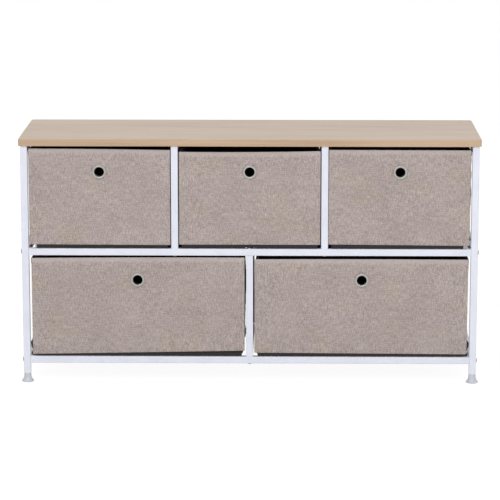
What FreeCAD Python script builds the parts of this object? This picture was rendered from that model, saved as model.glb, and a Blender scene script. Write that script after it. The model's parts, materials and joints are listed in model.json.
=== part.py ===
"""Fabric drawer dresser: a welded and bolted frame of square steel tube under a wood-look
board, with three small fabric drawers over two wide ones, on four levelling feet.

Millimetres. +X is the dresser's right side, -Y its front and +Z up. The origin is on the
floor, under the middle of the top board.
"""
import FreeCAD, Part
import os
import Sketcher

doc = FreeCAD.newDocument("fabric_drawer_dresser")

# Two places closer than this count as one.
same = 1e-6

sizes = {
    # the whole dresser and its top board
    "board_width": 1000,
    "board_depth": 300,
    "board_thickness": 15,
    "board_corner": 7,
    "board_ease": 1,
    "overall_height": 540,
    "board_overhang": 4,
    # square tube frame
    "tube_side": 15,
    "tube_wall": 1,
    "tube_corner": 1.8,
    "bottom_rail_rise": 23,
    "lower_bay_height": 226,
    # round-headed bolts and the threaded plugs that take them
    "bolt_shank": 6,
    "bolt_length": 30,
    "bolt_head": 10,
    "bolt_head_height": 2.4,
    "bolt_hole_play": 0.2,
    "plug_length": 20,
    "plug_play": 0.05,
    "thread_play": 0.05,
    # screws that hold the board down
    "screw_shank": 4,
    "screw_length": 25,
    "screw_head": 8,
    "screw_head_height": 2.2,
    "screw_hole_play": 0.2,
    "screw_spacing": 180,
    "screw_tip_room": 1,
    # levelling feet
    "foot_height": 20,
    "foot_gap": 0.2,
    "foot_neck": 15.4,
    "foot_neck_height": 4,
    "foot_flare": 27,
    "foot_flare_height": 3.8,
    "foot_rim_height": 1.6,
    "foot_sole": 23.4,
    "foot_waist": 19.6,
    "foot_waist_height": 9,
    "stud_size": 8,
    "stud_reach": 18,
    "insert_length": 20,
    # drawer fronts
    "panel_thickness": 5,
    "panel_recess": 3,
    "panel_corner": 3,
    "panel_round": 1.8,
    "panel_rise": 8,
    "small_top_gap": 8,
    "small_side_gap": 1.8,
    "large_top_gap": 5.5,
    "large_side_gap": 4.2,
    # fabric bins behind the fronts
    "seat_gap": 0.3,
    "bin_inset": 2.5,
    "bin_wall": 3,
    "bin_floor": 2,
    "bin_rim_drop": 2,
    "bin_rear_gap": 4,
    "bin_corner": 6,
    "bin_hem_height": 12,
    "bin_hem_thickness": 1,
    "welt_width": 14,
    "welt_toe": 7,
    "welt_rise": 10,
    "welt_arc": 10,
    "head_room": 0.6,
    "base_thickness": 2.5,
    "base_play": 1.5,
    "base_corner": 4,
    # eyelets used as finger pulls
    "eyelet_drop": 49,
    "eyelet_bore": 20.6,
    "eyelet_flange": 31,
    "eyelet_crown": 2.2,
    "eyelet_bevel": 1.3,
    "eyelet_shell": 0.8,
    "eyelet_play": 0.05,
    "eyelet_lip": 2.4,
    "eyelet_lip_rise": 1,
    "washer_size": 30,
    "washer_thickness": 1,
}

# Places and lengths that follow from the sizes. A line may use the lines above it.
layout = {
    "half_width": "Sizes.board_width / 2 - Sizes.board_overhang",
    "half_depth": "Sizes.board_depth / 2 - Sizes.board_overhang",
    "post_x": "half_width - Sizes.tube_side / 2",
    "rail_y": "half_depth - Sizes.tube_side / 2",
    "board_bottom": "Sizes.overall_height - Sizes.board_thickness",
    "post_length": "board_bottom - Sizes.foot_height",
    "post_z": "Sizes.foot_height + post_length / 2",
    "inner_width": "2 * (half_width - Sizes.tube_side)",
    "inner_depth": "2 * (half_depth - Sizes.tube_side)",
    "bottom_rail_z": "Sizes.foot_height + Sizes.bottom_rail_rise + Sizes.tube_side / 2",
    "lower_floor": "bottom_rail_z + Sizes.tube_side / 2",
    "lower_ceiling": "lower_floor + Sizes.lower_bay_height",
    "middle_rail_z": "lower_ceiling + Sizes.tube_side / 2",
    "upper_floor": "lower_ceiling + Sizes.tube_side",
    "upper_bay_height": "board_bottom - upper_floor",
    "top_rail_z": "board_bottom - Sizes.tube_side / 2",
    "lower_middle_z": "(lower_floor + lower_ceiling) / 2",
    "upper_middle_z": "(upper_floor + board_bottom) / 2",
    "small_bay": "(inner_width - 2 * Sizes.tube_side) / 3",
    "large_bay": "(inner_width - Sizes.tube_side) / 2",
    "divider_x": "(small_bay + Sizes.tube_side) / 2",
    "small_pitch": "small_bay + Sizes.tube_side",
    "large_pitch": "large_bay + Sizes.tube_side",
    "bolt_hole": "Sizes.bolt_shank + 2 * Sizes.bolt_hole_play",
    "screw_hole": "Sizes.screw_shank + 2 * Sizes.screw_hole_play",
    "tube_bore": "Sizes.tube_side - 2 * Sizes.tube_wall",
    "plug_side": "tube_bore - 2 * Sizes.plug_play",
    "screw_y": "Sizes.screw_spacing / 2",
    "pilot_depth": "Sizes.screw_length - Sizes.tube_side + Sizes.screw_tip_room",
    "bolt_dome": "(Sizes.bolt_head ^ 2 / 4 + Sizes.bolt_head_height ^ 2)"
                 " / (2 * Sizes.bolt_head_height)",
    "screw_dome": "(Sizes.screw_head ^ 2 / 4 + Sizes.screw_head_height ^ 2)"
                  " / (2 * Sizes.screw_head_height)",
    "thread_bore": "Sizes.bolt_shank + 2 * Sizes.thread_play",
    "pilot_bore": "Sizes.screw_shank + 2 * Sizes.thread_play",
    "stud_bore": "Sizes.stud_size + 2 * Sizes.thread_play",
    "panel_front": "-half_depth + Sizes.panel_recess",
    "panel_y": "panel_front + Sizes.panel_thickness / 2",
    "bin_front": "panel_front + Sizes.panel_thickness",
    "bin_depth": "half_depth - Sizes.bin_rear_gap - bin_front",
    "bin_y": "bin_front + bin_depth / 2",
    "bin_inner_depth": "bin_depth - 2 * Sizes.bin_wall",
    "upper_seat": "upper_floor + Sizes.seat_gap",
    "lower_seat": "lower_floor + Sizes.seat_gap",
    "panel_bottom": "Sizes.panel_rise - Sizes.seat_gap",
    "small_panel_width": "small_bay - 2 * Sizes.small_side_gap",
    "small_panel_height": "upper_bay_height - Sizes.panel_rise - Sizes.small_top_gap",
    "large_panel_width": "large_bay - 2 * Sizes.large_side_gap",
    "large_panel_height": "Sizes.lower_bay_height - Sizes.panel_rise - Sizes.large_top_gap",
    "floor_lift": "Sizes.bolt_head_height + Sizes.head_room",
    "floor_top": "floor_lift + Sizes.bin_floor",
    "eyelet_tube": "Sizes.eyelet_bore + 2 * Sizes.eyelet_shell",
    "eyelet_hole": "eyelet_tube + 2 * Sizes.eyelet_play",
    "eyelet_grip": "Sizes.panel_thickness + Sizes.bin_wall",
    "eyelet_length": "eyelet_grip + Sizes.washer_thickness + 2 * Sizes.eyelet_play",
}


def add_sheet(name, cells, prefix=""):
    sheet = doc.addObject("Spreadsheet::Sheet", name)
    for row, (alias, content) in enumerate(cells.items(), start=1):
        sheet.set(f"A{row}", alias)
        sheet.set(f"B{row}", f"{prefix}{content}")
        sheet.setAlias(f"B{row}", alias)
    return sheet


sizeSheet = add_sheet("Sizes", sizes)
layoutSheet = add_sheet("Layout", layout, prefix="=")
doc.recompute()


def value(expression):
    return float(sizeSheet.evalExpression(str(expression)))


def add_body(label):
    body = doc.addObject("PartDesign::Body", label)
    body.Label = label
    body.AllowCompound = True
    return body


def origin_feature(body, role):
    return next(feature for feature in body.Origin.OriginFeatures if feature.Role == role)


def place(body, x="0", y="0", z="0"):
    for axis, expression in zip("xyz", (x, y, z)):
        body.setExpression(f".Placement.Base.{axis}", expression)


def add_sketch(body, role, right="0", up="0", out="0", turn=0):
    """Sketch on an origin plane of the body, shifted in that plane's own directions and
    turned in it by an angle in degrees."""
    sketch = body.newObject("Sketcher::SketchObject", f"{body.Name}_sketch")
    sketch.AttachmentSupport = [(origin_feature(body, role), "")]
    sketch.MapMode = "FlatFace"
    turned = FreeCAD.Rotation(FreeCAD.Vector(0, 0, 1), turn)
    sketch.AttachmentOffset = FreeCAD.Placement(FreeCAD.Vector(), turned)
    for axis, expression in zip("xyz", (right, up, out)):
        sketch.setExpression(f".AttachmentOffset.Base.{axis}", expression)
    return sketch


def bind(sketch, kind, targets, expression):
    index = sketch.addConstraint(Sketcher.Constraint(kind, *targets, value(expression)))
    sketch.setExpression(f"Constraints[{index}]", expression)


def bind_point(sketch, point, x, y):
    """Holds a point at its distances from the sketch origin, or on the axis where one is 0."""
    for kind, axis, expression in (("DistanceX", -2, x), ("DistanceY", -1, y)):
        if abs(value(expression)) < same:
            sketch.addConstraint(Sketcher.Constraint("PointOnObject", *point, axis))
        else:
            bind(sketch, kind, (-1, 1, *point), expression)


def add_outline(sketch, corners):
    """Closed outline through corners (x, y). A third item is the radius of the arc that leaves
    the corner: it turns left, or right where its side is given as "right"."""
    start = sketch.GeometryCount
    spots = [FreeCAD.Vector(value(corner[0]), value(corner[1]), 0) for corner in corners]
    ends = []
    for index, corner in enumerate(corners):
        here, there = spots[index], spots[(index + 1) % len(spots)]
        if len(corner) == 2:
            sketch.addGeometry(Part.LineSegment(here, there))
            ends.append((1, 2))
            continue
        turn = -1 if "right" in corner else 1
        half = (there - here) / 2
        reach = (value(corner[2]) ** 2 - half.Length ** 2) ** 0.5
        normal = FreeCAD.Vector(-half.y, half.x, 0).normalize()
        centre = here + half + normal * reach * turn
        bulge = centre - normal * value(corner[2]) * turn
        sketch.addGeometry(Part.Arc(here, bulge, there))
        ends.append((1, 2) if turn > 0 else (2, 1))
    for index, corner in enumerate(corners):
        following = (index + 1) % len(corners)
        sketch.addConstraint(Sketcher.Constraint(
            "Coincident", start + index, ends[index][1], start + following, ends[following][0]))
        bind_point(sketch, (start + index, ends[index][0]), corner[0], corner[1])
        if len(corner) > 2:
            bind(sketch, "Radius", (start + index,), corner[2])


def add_rectangle(sketch, width, height, bottom=None):
    """Rectangle centred on the sketch origin, or standing on the height bottom."""
    left, right = f"-({width}) / 2", f"({width}) / 2"
    low = bottom if bottom else f"-({height}) / 2"
    high = f"{bottom} + {height}" if bottom else f"({height}) / 2"
    add_outline(sketch, [(left, low), (right, low), (right, high), (left, high)])


def add_circle(sketch, x, y, diameter):
    here = FreeCAD.Vector(value(x), value(y), 0)
    circle = sketch.addGeometry(Part.Circle(here, FreeCAD.Vector(0, 0, 1), value(diameter) / 2))
    bind_point(sketch, (circle, 3), x, y)
    bind(sketch, "Radius", (circle,), f"({diameter}) / 2")


def add_pad(body, sketch, length, symmetric=False):
    pad = body.newObject("PartDesign::Pad", f"{body.Name}_pad")
    pad.Profile = sketch
    pad.SideType = "Symmetric" if symmetric else "One side"
    pad.setExpression("Length", length)
    return pad


def add_pocket(body, sketch, depth=None, symmetric=True, reverse=False):
    """Pocket to a depth, or through everything where no depth is given."""
    pocket = body.newObject("PartDesign::Pocket", f"{body.Name}_pocket")
    pocket.Profile = sketch
    pocket.SideType = "Symmetric" if symmetric else "One side"
    pocket.Reversed = reverse
    if depth:
        pocket.setExpression("Length", depth)
    else:
        pocket.Type = "ThroughAll"
    return pocket


def add_revolution(body, sketch, axis):
    turned = body.newObject("PartDesign::Revolution", f"{body.Name}_turned")
    turned.Profile = sketch
    turned.ReferenceAxis = (sketch, [axis])
    turned.Angle = 360
    return turned


def add_fillet(body, radius, wanted):
    """Rounds the edges of the body's last feature that wanted(edge) picks."""
    doc.recompute()
    base = body.Tip
    names = [f"Edge{n}" for n, edge in enumerate(base.Shape.Edges, start=1) if wanted(edge)]
    fillet = body.newObject("PartDesign::Fillet", f"{body.Name}_fillet")
    fillet.Base = (base, names)
    fillet.setExpression("Radius", radius)
    return fillet


def runs_along(edge, axis):
    box = edge.BoundBox
    spans = {"x": box.XLength, "y": box.YLength, "z": box.ZLength}
    return spans.pop(axis) > same and max(spans.values()) < same


def repeat(body, original, mirrors=(), axis=None, length=None):
    """Copies a feature once along an axis, then by mirrors in the body's own planes."""
    steps = []
    if axis:
        pattern = body.newObject("PartDesign::LinearPattern", f"{body.Name}_row")
        pattern.Direction = (origin_feature(body, axis), [""])
        pattern.Occurrences = 2
        pattern.setExpression("Length", length)
        steps.append(pattern)
    for role in mirrors:
        mirrored = body.newObject("PartDesign::Mirrored", f"{body.Name}_mirrored")
        mirrored.MirrorPlane = (origin_feature(body, role), [""])
        steps.append(mirrored)
    copies = body.newObject("PartDesign::MultiTransform", f"{body.Name}_copies")
    copies.Originals = [original]
    copies.Transformations = steps
    body.Tip = copies


# Top board: rounded upright corners, a slightly eased upper edge, pilot holes underneath.
def make_board():
    body = add_body("top_board")
    place(body, z="Layout.board_bottom")
    outline = add_sketch(body, "XY_Plane")
    add_rectangle(outline, "Sizes.board_width", "Sizes.board_depth")
    add_pad(body, outline, "Sizes.board_thickness")
    add_fillet(body, "Sizes.board_corner", lambda edge: runs_along(edge, "z"))
    top = value("Sizes.board_thickness")
    add_fillet(body, "Sizes.board_ease", lambda edge: edge.BoundBox.ZMin > top - same)
    holes = add_sketch(body, "XY_Plane")
    for x in ("Layout.post_x", "Layout.divider_x"):
        for side in ("-", ""):
            for end in ("-", ""):
                add_circle(holes, f"{side}{x}", f"{end}Layout.screw_y", "Layout.pilot_bore")
    add_pocket(body, holes, "Layout.pilot_depth", symmetric=False, reverse=True)


# Square tubes, each centred on its own origin. Bores go right through, across the tube.
tubePlanes = {"x": "YZ_Plane", "y": "XZ_Plane", "z": "XY_Plane"}


def make_tube(label, along, length, x, y, z, bore_plane=None, bores=(), bore_size=None):
    body = add_body(label)
    place(body, x, y, z)
    section = add_sketch(body, tubePlanes[along])
    add_rectangle(section, "Sizes.tube_side", "Sizes.tube_side")
    add_rectangle(section, "Layout.tube_bore", "Layout.tube_bore")
    add_pad(body, section, length, symmetric=True)
    reach = value("Layout.tube_bore") / 2 + same
    cross = [axis for axis in "xyz" if axis != along]

    def is_outer(edge):
        middle = edge.BoundBox.Center
        return runs_along(edge, along) and all(abs(getattr(middle, axis)) > reach for axis in cross)

    add_fillet(body, "Sizes.tube_corner", is_outer)
    if bores:
        holes = add_sketch(body, bore_plane)
        for right, up in bores:
            add_circle(holes, right, up, bore_size)
        add_pocket(body, holes)


def make_posts():
    bores = [("0", f"Layout.{level}_rail_z - Layout.post_z") for level in ("middle", "bottom")]
    for end, y in (("front", "-Layout.rail_y"), ("rear", "Layout.rail_y")):
        for side, x in (("left", "-Layout.post_x"), ("right", "Layout.post_x")):
            make_tube(f"{end}_{side}_post", "z", "Layout.post_length", x, y, "Layout.post_z",
                      "YZ_Plane", bores, "Layout.bolt_hole")


def make_side_rails():
    screws = [("0", f"{end}Layout.screw_y") for end in ("-", "")]
    for side, x in (("left", "-Layout.post_x"), ("right", "Layout.post_x")):
        make_tube(f"{side}_top_rail", "y", "Layout.inner_depth", x, "0", "Layout.top_rail_z",
                  "XY_Plane", screws, "Layout.screw_hole")
        for level in ("middle", "bottom"):
            make_tube(f"{side}_{level}_rail", "y", "Layout.inner_depth",
                      x, "0", f"Layout.{level}_rail_z")


def make_long_rails():
    bores = {
        "middle": [("-Layout.divider_x", "0"), ("0", "0"), ("Layout.divider_x", "0")],
        "bottom": [("0", "0")],
    }
    for end, y in (("front", "-Layout.rail_y"), ("rear", "Layout.rail_y")):
        for level in ("middle", "bottom"):
            make_tube(f"{end}_{level}_rail", "x", "Layout.inner_width",
                      "0", y, f"Layout.{level}_rail_z",
                      "XY_Plane", bores[level], "Layout.bolt_hole")


# Dividers: welded rectangles of two uprights and two cross rails between the bays.
def make_dividers():
    screws = [("0", f"{end}Layout.screw_y") for end in ("-", "")]
    uprights = (("front", "-Layout.rail_y"), ("rear", "Layout.rail_y"))
    for side, x in (("left", "-Layout.divider_x"), ("right", "Layout.divider_x")):
        for end, y in uprights:
            make_tube(f"{end}_{side}_divider", "z", "Layout.upper_bay_height",
                      x, y, "Layout.upper_middle_z")
        make_tube(f"{side}_divider_top_rail", "y", "Layout.inner_depth",
                  x, "0", "Layout.top_rail_z", "XY_Plane", screws, "Layout.screw_hole")
        make_tube(f"{side}_divider_foot_rail", "y", "Layout.inner_depth",
                  x, "0", "Layout.upper_floor + Sizes.tube_side / 2")
    for end, y in uprights:
        make_tube(f"{end}_lower_divider", "z", "Sizes.lower_bay_height",
                  "0", y, "Layout.lower_middle_z")
    make_tube("lower_divider_top_rail", "y", "Layout.inner_depth",
              "0", "0", "Layout.lower_ceiling - Sizes.tube_side / 2")
    make_tube("lower_divider_foot_rail", "y", "Layout.inner_depth",
              "0", "0", "Layout.lower_floor + Sizes.tube_side / 2")


# A bolt or screw stands on the sketch origin: its domed head below, its shank above.
def add_fastener(body, sketch, kind):
    head, shank = f"Sizes.{kind}_head / 2", f"Sizes.{kind}_shank / 2"
    add_outline(sketch, [
        ("0", f"-Sizes.{kind}_head_height", f"Layout.{kind}_dome"),
        (head, "0"),
        (shank, "0"),
        (shank, f"Sizes.{kind}_length"),
        ("0", f"Sizes.{kind}_length"),
    ])
    return add_revolution(body, sketch, "V_Axis")


def make_fasteners():
    rail_spacing = "Layout.middle_rail_z - Layout.bottom_rail_z"
    body = add_body("frame_bolts")
    place(body, z="Layout.bottom_rail_z")
    sketch = add_sketch(body, "XY_Plane", "-Layout.half_width", "-Layout.rail_y", turn=-90)
    bolt = add_fastener(body, sketch, "bolt")
    repeat(body, bolt, ("YZ_Plane", "XZ_Plane"), "Z_Axis", rail_spacing)

    body = add_body("upper_divider_bolts")
    place(body, z="Layout.lower_ceiling")
    sketch = add_sketch(body, "XZ_Plane", "-Layout.divider_x", out="Layout.rail_y")
    bolt = add_fastener(body, sketch, "bolt")
    repeat(body, bolt, ("YZ_Plane", "XZ_Plane"))

    body = add_body("lower_divider_bolts")
    place(body, z="Layout.lower_middle_z")
    below = "-Sizes.lower_bay_height / 2 - Sizes.tube_side"
    sketch = add_sketch(body, "XZ_Plane", up=below, out="Layout.rail_y")
    bolt = add_fastener(body, sketch, "bolt")
    repeat(body, bolt, ("XZ_Plane", "XY_Plane"))

    body = add_body("board_screws")
    place(body, z="Layout.board_bottom - Sizes.tube_side")
    sketch = add_sketch(body, "XZ_Plane", "-Layout.post_x", out="Layout.screw_y")
    screw = add_fastener(body, sketch, "screw")
    spacing = "Layout.post_x - Layout.divider_x"
    repeat(body, screw, ("YZ_Plane", "XZ_Plane"), "X_Axis", spacing)


# Square plugs pressed into tube ends, each bored for a thread. The sketch is on the open end.
def add_plug(body, sketch, bore, length):
    add_rectangle(sketch, "Layout.plug_side", "Layout.plug_side")
    add_circle(sketch, "0", "0", bore)
    return add_pad(body, sketch, length)


def make_plugs():
    body = add_body("rail_plugs")
    place(body, z="Layout.bottom_rail_z")
    sketch = add_sketch(body, "YZ_Plane", "-Layout.rail_y", out="-Layout.inner_width / 2")
    plug = add_plug(body, sketch, "Layout.thread_bore", "Sizes.plug_length")
    spacing = "Layout.middle_rail_z - Layout.bottom_rail_z"
    repeat(body, plug, ("YZ_Plane", "XZ_Plane"), "Z_Axis", spacing)

    body = add_body("upper_divider_plugs")
    place(body, z="Layout.upper_floor")
    sketch = add_sketch(body, "XY_Plane", "-Layout.divider_x", "-Layout.rail_y")
    plug = add_plug(body, sketch, "Layout.thread_bore", "Sizes.plug_length")
    repeat(body, plug, ("YZ_Plane", "XZ_Plane"))

    body = add_body("lower_divider_plugs")
    place(body, z="Layout.lower_middle_z")
    below = "-Sizes.lower_bay_height / 2"
    sketch = add_sketch(body, "XY_Plane", up="-Layout.rail_y", out=below)
    plug = add_plug(body, sketch, "Layout.thread_bore", "Sizes.plug_length")
    repeat(body, plug, ("XZ_Plane", "XY_Plane"))

    body = add_body("foot_inserts")
    place(body, z="Sizes.foot_height")
    sketch = add_sketch(body, "XY_Plane", "-Layout.post_x", "-Layout.rail_y")
    plug = add_plug(body, sketch, "Layout.stud_bore", "Sizes.insert_length")
    repeat(body, plug, ("YZ_Plane", "XZ_Plane"))


# Levelling feet: a flat sole, a bevelled rim, a waisted bell and a stud that screws upwards.
def make_feet():
    collar = "Sizes.foot_height - Sizes.foot_gap"
    tip = "Sizes.foot_height + Sizes.stud_reach"
    for end, y in (("front", "-Layout.rail_y"), ("rear", "Layout.rail_y")):
        for side, x in (("left", "-Layout.post_x"), ("right", "Layout.post_x")):
            body = add_body(f"{end}_{side}_foot")
            place(body, x, y)
            sketch = add_sketch(body, "XZ_Plane")
            add_outline(sketch, [
                ("0", "0"),
                ("Sizes.foot_sole / 2", "0"),
                ("Sizes.foot_flare / 2", "Sizes.foot_rim_height"),
                ("Sizes.foot_flare / 2", "Sizes.foot_flare_height"),
                ("Sizes.foot_waist / 2", "Sizes.foot_waist_height"),
                ("Sizes.foot_neck / 2", f"{collar} - Sizes.foot_neck_height"),
                ("Sizes.foot_neck / 2", collar),
                ("Sizes.stud_size / 2", collar),
                ("Sizes.stud_size / 2", tip),
                ("0", tip),
            ])
            add_revolution(body, sketch, "V_Axis")


# Drawer front: a stiff linen-covered board, soft-edged towards the front.
def make_front_panel(name, size, x, seat):
    body = add_body(f"{name}_front_panel")
    place(body, x, "Layout.panel_y", seat)
    outline = add_sketch(body, "XZ_Plane")
    width, height = f"Layout.{size}_panel_width", f"Layout.{size}_panel_height"
    add_rectangle(outline, width, height, bottom="Layout.panel_bottom")
    add_pad(body, outline, "Sizes.panel_thickness", symmetric=True)
    add_fillet(body, "Sizes.panel_corner", lambda edge: runs_along(edge, "y"))
    face = -value("Sizes.panel_thickness") / 2 + same
    add_fillet(body, "Sizes.panel_round", lambda edge: edge.BoundBox.YMax < face)
    hole = add_sketch(body, "XZ_Plane")
    drop = f"Layout.panel_bottom + {height} - Sizes.eyelet_drop"
    add_circle(hole, "0", drop, "Layout.eyelet_hole")
    add_pocket(body, hole)


# Fabric bin: thin walls, a hem round its rim and two padded welts underneath that slide on
# the rails and carry its floor clear of the bolt heads.
def make_bin(name, size, x, seat):
    body = add_body(f"{name}_bin")
    place(body, x, "Layout.bin_y", seat)
    half = f"(Layout.{size}_panel_width / 2 - Sizes.bin_inset)"
    panel_top = f"Layout.panel_bottom + Layout.{size}_panel_height"
    rim = f"({panel_top} - Sizes.bin_rim_drop)"
    section = add_sketch(body, "XZ_Plane")
    shoulder = f"{half} - Sizes.welt_width"
    left_side = [
        (f"-{half}", rim),
        (f"-{half}", "Sizes.welt_rise", "Sizes.welt_arc"),
        (f"-{half} + Sizes.welt_toe", "0"),
        (f"-({shoulder})", "0"),
        (f"-({shoulder} - Layout.floor_lift)", "Layout.floor_lift"),
    ]
    right_side = [
        (f"{shoulder} - Layout.floor_lift", "Layout.floor_lift"),
        (shoulder, "0"),
        (f"{half} - Sizes.welt_toe", "0", "Sizes.welt_arc"),
        (half, "Sizes.welt_rise"),
        (half, rim),
    ]
    add_outline(section, left_side + right_side)
    add_pad(body, section, "Layout.bin_depth", symmetric=True)

    front = "-Layout.bin_depth / 2"
    rear = "(Layout.bin_depth / 2 + Sizes.bin_hem_thickness)"
    side = f"({half} + Sizes.bin_hem_thickness)"
    hem = add_sketch(body, "XY_Plane", out=f"{rim} - Sizes.bin_hem_height")
    add_outline(hem, [(f"-{side}", front), (side, front), (side, rear), (f"-{side}", rear)])
    add_pad(body, hem, "Sizes.bin_hem_height")

    corners = add_sketch(body, "XY_Plane")
    margin = "Sizes.bin_corner"
    add_rectangle(corners, f"2 * ({side} + {margin})", f"2 * ({rear} + {margin})")
    add_outline(corners, [
        (f"-{side}", front),
        (side, front),
        (side, f"{rear} - Sizes.bin_corner", "Sizes.bin_corner"),
        (f"{side} - Sizes.bin_corner", rear),
        (f"-({side} - Sizes.bin_corner)", rear, "Sizes.bin_corner"),
        (f"-{side}", f"{rear} - Sizes.bin_corner"),
    ])
    add_pocket(body, corners)

    cavity = add_sketch(body, "XY_Plane", out="Layout.floor_top")
    add_rectangle(cavity, f"2 * ({half} - Sizes.bin_wall)", "Layout.bin_inner_depth")
    add_pocket(body, cavity, symmetric=False, reverse=True)

    hole = add_sketch(body, "XZ_Plane", out="Layout.bin_depth / 2")
    add_circle(hole, "0", f"{panel_top} - Sizes.eyelet_drop", "Layout.eyelet_hole")
    add_pocket(body, hole, "4 * Sizes.bin_wall")


# Loose stiffening board on the floor of a bin.
def make_base_board(name, size, x, seat):
    body = add_body(f"{name}_base_board")
    place(body, x, "Layout.bin_y", f"{seat} + Layout.floor_top")
    outline = add_sketch(body, "XY_Plane")
    width = f"Layout.{size}_panel_width - 2 * (Sizes.bin_inset + Sizes.bin_wall + Sizes.base_play)"
    add_rectangle(outline, width, "Layout.bin_inner_depth - 2 * Sizes.base_play")
    add_pad(body, outline, "Sizes.base_thickness")
    add_fillet(body, "Sizes.base_corner", lambda edge: runs_along(edge, "z"))


# Metal eyelet: a crowned flange on the linen, a barrel through panel and bin, and a washer
# behind them that the barrel's end is turned out over.
def make_eyelet(name, size, x, seat):
    body = add_body(f"{name}_eyelet")
    height = f"{seat} + Layout.panel_bottom + Layout.{size}_panel_height - Sizes.eyelet_drop"
    place(body, x, "Layout.panel_front", height)
    bore, tube, flange = "Sizes.eyelet_bore / 2", "Layout.eyelet_tube / 2", "Sizes.eyelet_flange / 2"
    shoulder = "-(Sizes.eyelet_crown - Sizes.eyelet_bevel)"
    end = "Layout.eyelet_length + Sizes.eyelet_lip_rise"
    barrel = add_sketch(body, "YZ_Plane")
    add_outline(barrel, [
        ("Layout.eyelet_length", bore),
        (end, f"{bore} + Sizes.eyelet_lip_rise"),
        (end, f"{bore} + Sizes.eyelet_lip"),
        ("Layout.eyelet_length", f"{bore} + Sizes.eyelet_lip"),
        ("Layout.eyelet_length", tube),
        ("0", tube),
        ("0", flange),
        (shoulder, flange),
        ("-Sizes.eyelet_crown", f"{flange} - Sizes.eyelet_bevel"),
        ("-Sizes.eyelet_crown", f"{bore} + Sizes.eyelet_bevel"),
        (shoulder, bore),
    ])
    add_revolution(body, barrel, "H_Axis")
    washer = add_sketch(body, "YZ_Plane")
    near = "Layout.eyelet_grip + Sizes.eyelet_play"
    far = f"{near} + Sizes.washer_thickness"
    inner, outer = "Layout.eyelet_hole / 2", "Sizes.washer_size / 2"
    add_outline(washer, [(near, inner), (far, inner), (far, outer), (near, outer)])
    add_revolution(body, washer, "H_Axis")


def make_drawers():
    drawers = (
        ("upper_left", "small", "-Layout.small_pitch", "Layout.upper_seat"),
        ("upper_middle", "small", "0", "Layout.upper_seat"),
        ("upper_right", "small", "Layout.small_pitch", "Layout.upper_seat"),
        ("lower_left", "large", "-Layout.large_pitch / 2", "Layout.lower_seat"),
        ("lower_right", "large", "Layout.large_pitch / 2", "Layout.lower_seat"),
    )
    for drawer in drawers:
        make_front_panel(*drawer)
        make_bin(*drawer)
        make_base_board(*drawer)
        make_eyelet(*drawer)


make_board()
make_posts()
make_side_rails()
make_long_rails()
make_dividers()
make_fasteners()
make_plugs()
make_feet()
make_drawers()
doc.recompute()

for item in doc.Objects:
    if "Invalid" in item.State or "Error" in item.State:
        raise RuntimeError(f"{item.Label} failed: {item.State}")

bodies = [item for item in doc.Objects if item.TypeId == "PartDesign::Body"]
for body in bodies:
    if body.Shape.isNull() or not body.Shape.isValid():
        raise RuntimeError(f"{body.Label} has no valid shape")

os.makedirs("parts", exist_ok=True)
for body in bodies:
    body.Shape.exportStep(f"parts/{body.Label}.step")
    print(body.Label, len(body.Shape.Solids), round(body.Shape.Volume, 1))
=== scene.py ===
# A wide fabric drawer dresser: white steel frame, wood-look top, linen drawer fronts.
# Metres, in the part's own frame: +X to the right as seen from the front, -Y to the front, +Z up.
import bpy
import bmesh
import json
import math
import random
from mathutils import Matrix, Vector, noise

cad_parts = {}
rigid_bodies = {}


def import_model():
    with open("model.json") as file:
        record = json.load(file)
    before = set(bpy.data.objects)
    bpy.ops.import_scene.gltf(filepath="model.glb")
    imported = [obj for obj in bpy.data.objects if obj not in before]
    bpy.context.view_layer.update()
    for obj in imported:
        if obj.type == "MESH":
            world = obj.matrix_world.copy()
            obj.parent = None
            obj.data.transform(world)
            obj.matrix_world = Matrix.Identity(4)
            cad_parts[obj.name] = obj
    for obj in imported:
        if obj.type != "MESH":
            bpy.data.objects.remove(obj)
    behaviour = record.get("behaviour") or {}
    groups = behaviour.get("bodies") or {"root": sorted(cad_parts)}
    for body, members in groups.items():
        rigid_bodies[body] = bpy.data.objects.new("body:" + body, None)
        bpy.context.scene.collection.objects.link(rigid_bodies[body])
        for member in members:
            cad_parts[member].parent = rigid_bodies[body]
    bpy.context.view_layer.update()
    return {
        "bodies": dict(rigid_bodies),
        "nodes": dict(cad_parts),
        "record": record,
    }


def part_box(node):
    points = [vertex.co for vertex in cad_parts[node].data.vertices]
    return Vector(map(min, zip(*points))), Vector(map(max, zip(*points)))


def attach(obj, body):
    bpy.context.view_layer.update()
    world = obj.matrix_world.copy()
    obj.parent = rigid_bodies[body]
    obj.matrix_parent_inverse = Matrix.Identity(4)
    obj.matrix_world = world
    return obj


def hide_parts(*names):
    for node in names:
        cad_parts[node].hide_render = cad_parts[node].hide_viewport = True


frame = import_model()
random.seed(11)
mm = 0.001
drawers = [body for body in frame["bodies"] if body.endswith("_drawer")]


def inMm(**lengths):
    # A dictionary of lengths, given in millimetres.
    return {name: value * mm for name, value in lengths.items()}


def partOf(body, ending):
    # The name of one of a drawer's nodes or pieces, such as upper_left_bin or upper_leftBin.
    return body.replace("_drawer", ending)


def middleOf(node):
    low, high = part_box(node)
    return (low + high) / 2


# Tools for shaping

def selectNothing():
    if bpy.context.object and bpy.context.object.mode != "OBJECT":
        bpy.ops.object.mode_set(mode="OBJECT")
    bpy.ops.object.select_all(action="DESELECT")
    bpy.context.view_layer.objects.active = None


def workOn(*pieces):
    selectNothing()
    for piece in pieces:
        piece.select_set(True)
    bpy.context.view_layer.objects.active = pieces[0]


def startEditing(piece):
    workOn(piece)
    bpy.ops.object.mode_set(mode="EDIT")


def stopEditing():
    bpy.ops.object.mode_set(mode="OBJECT")


def pickAll():
    bpy.ops.mesh.select_all(action="SELECT")


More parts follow.
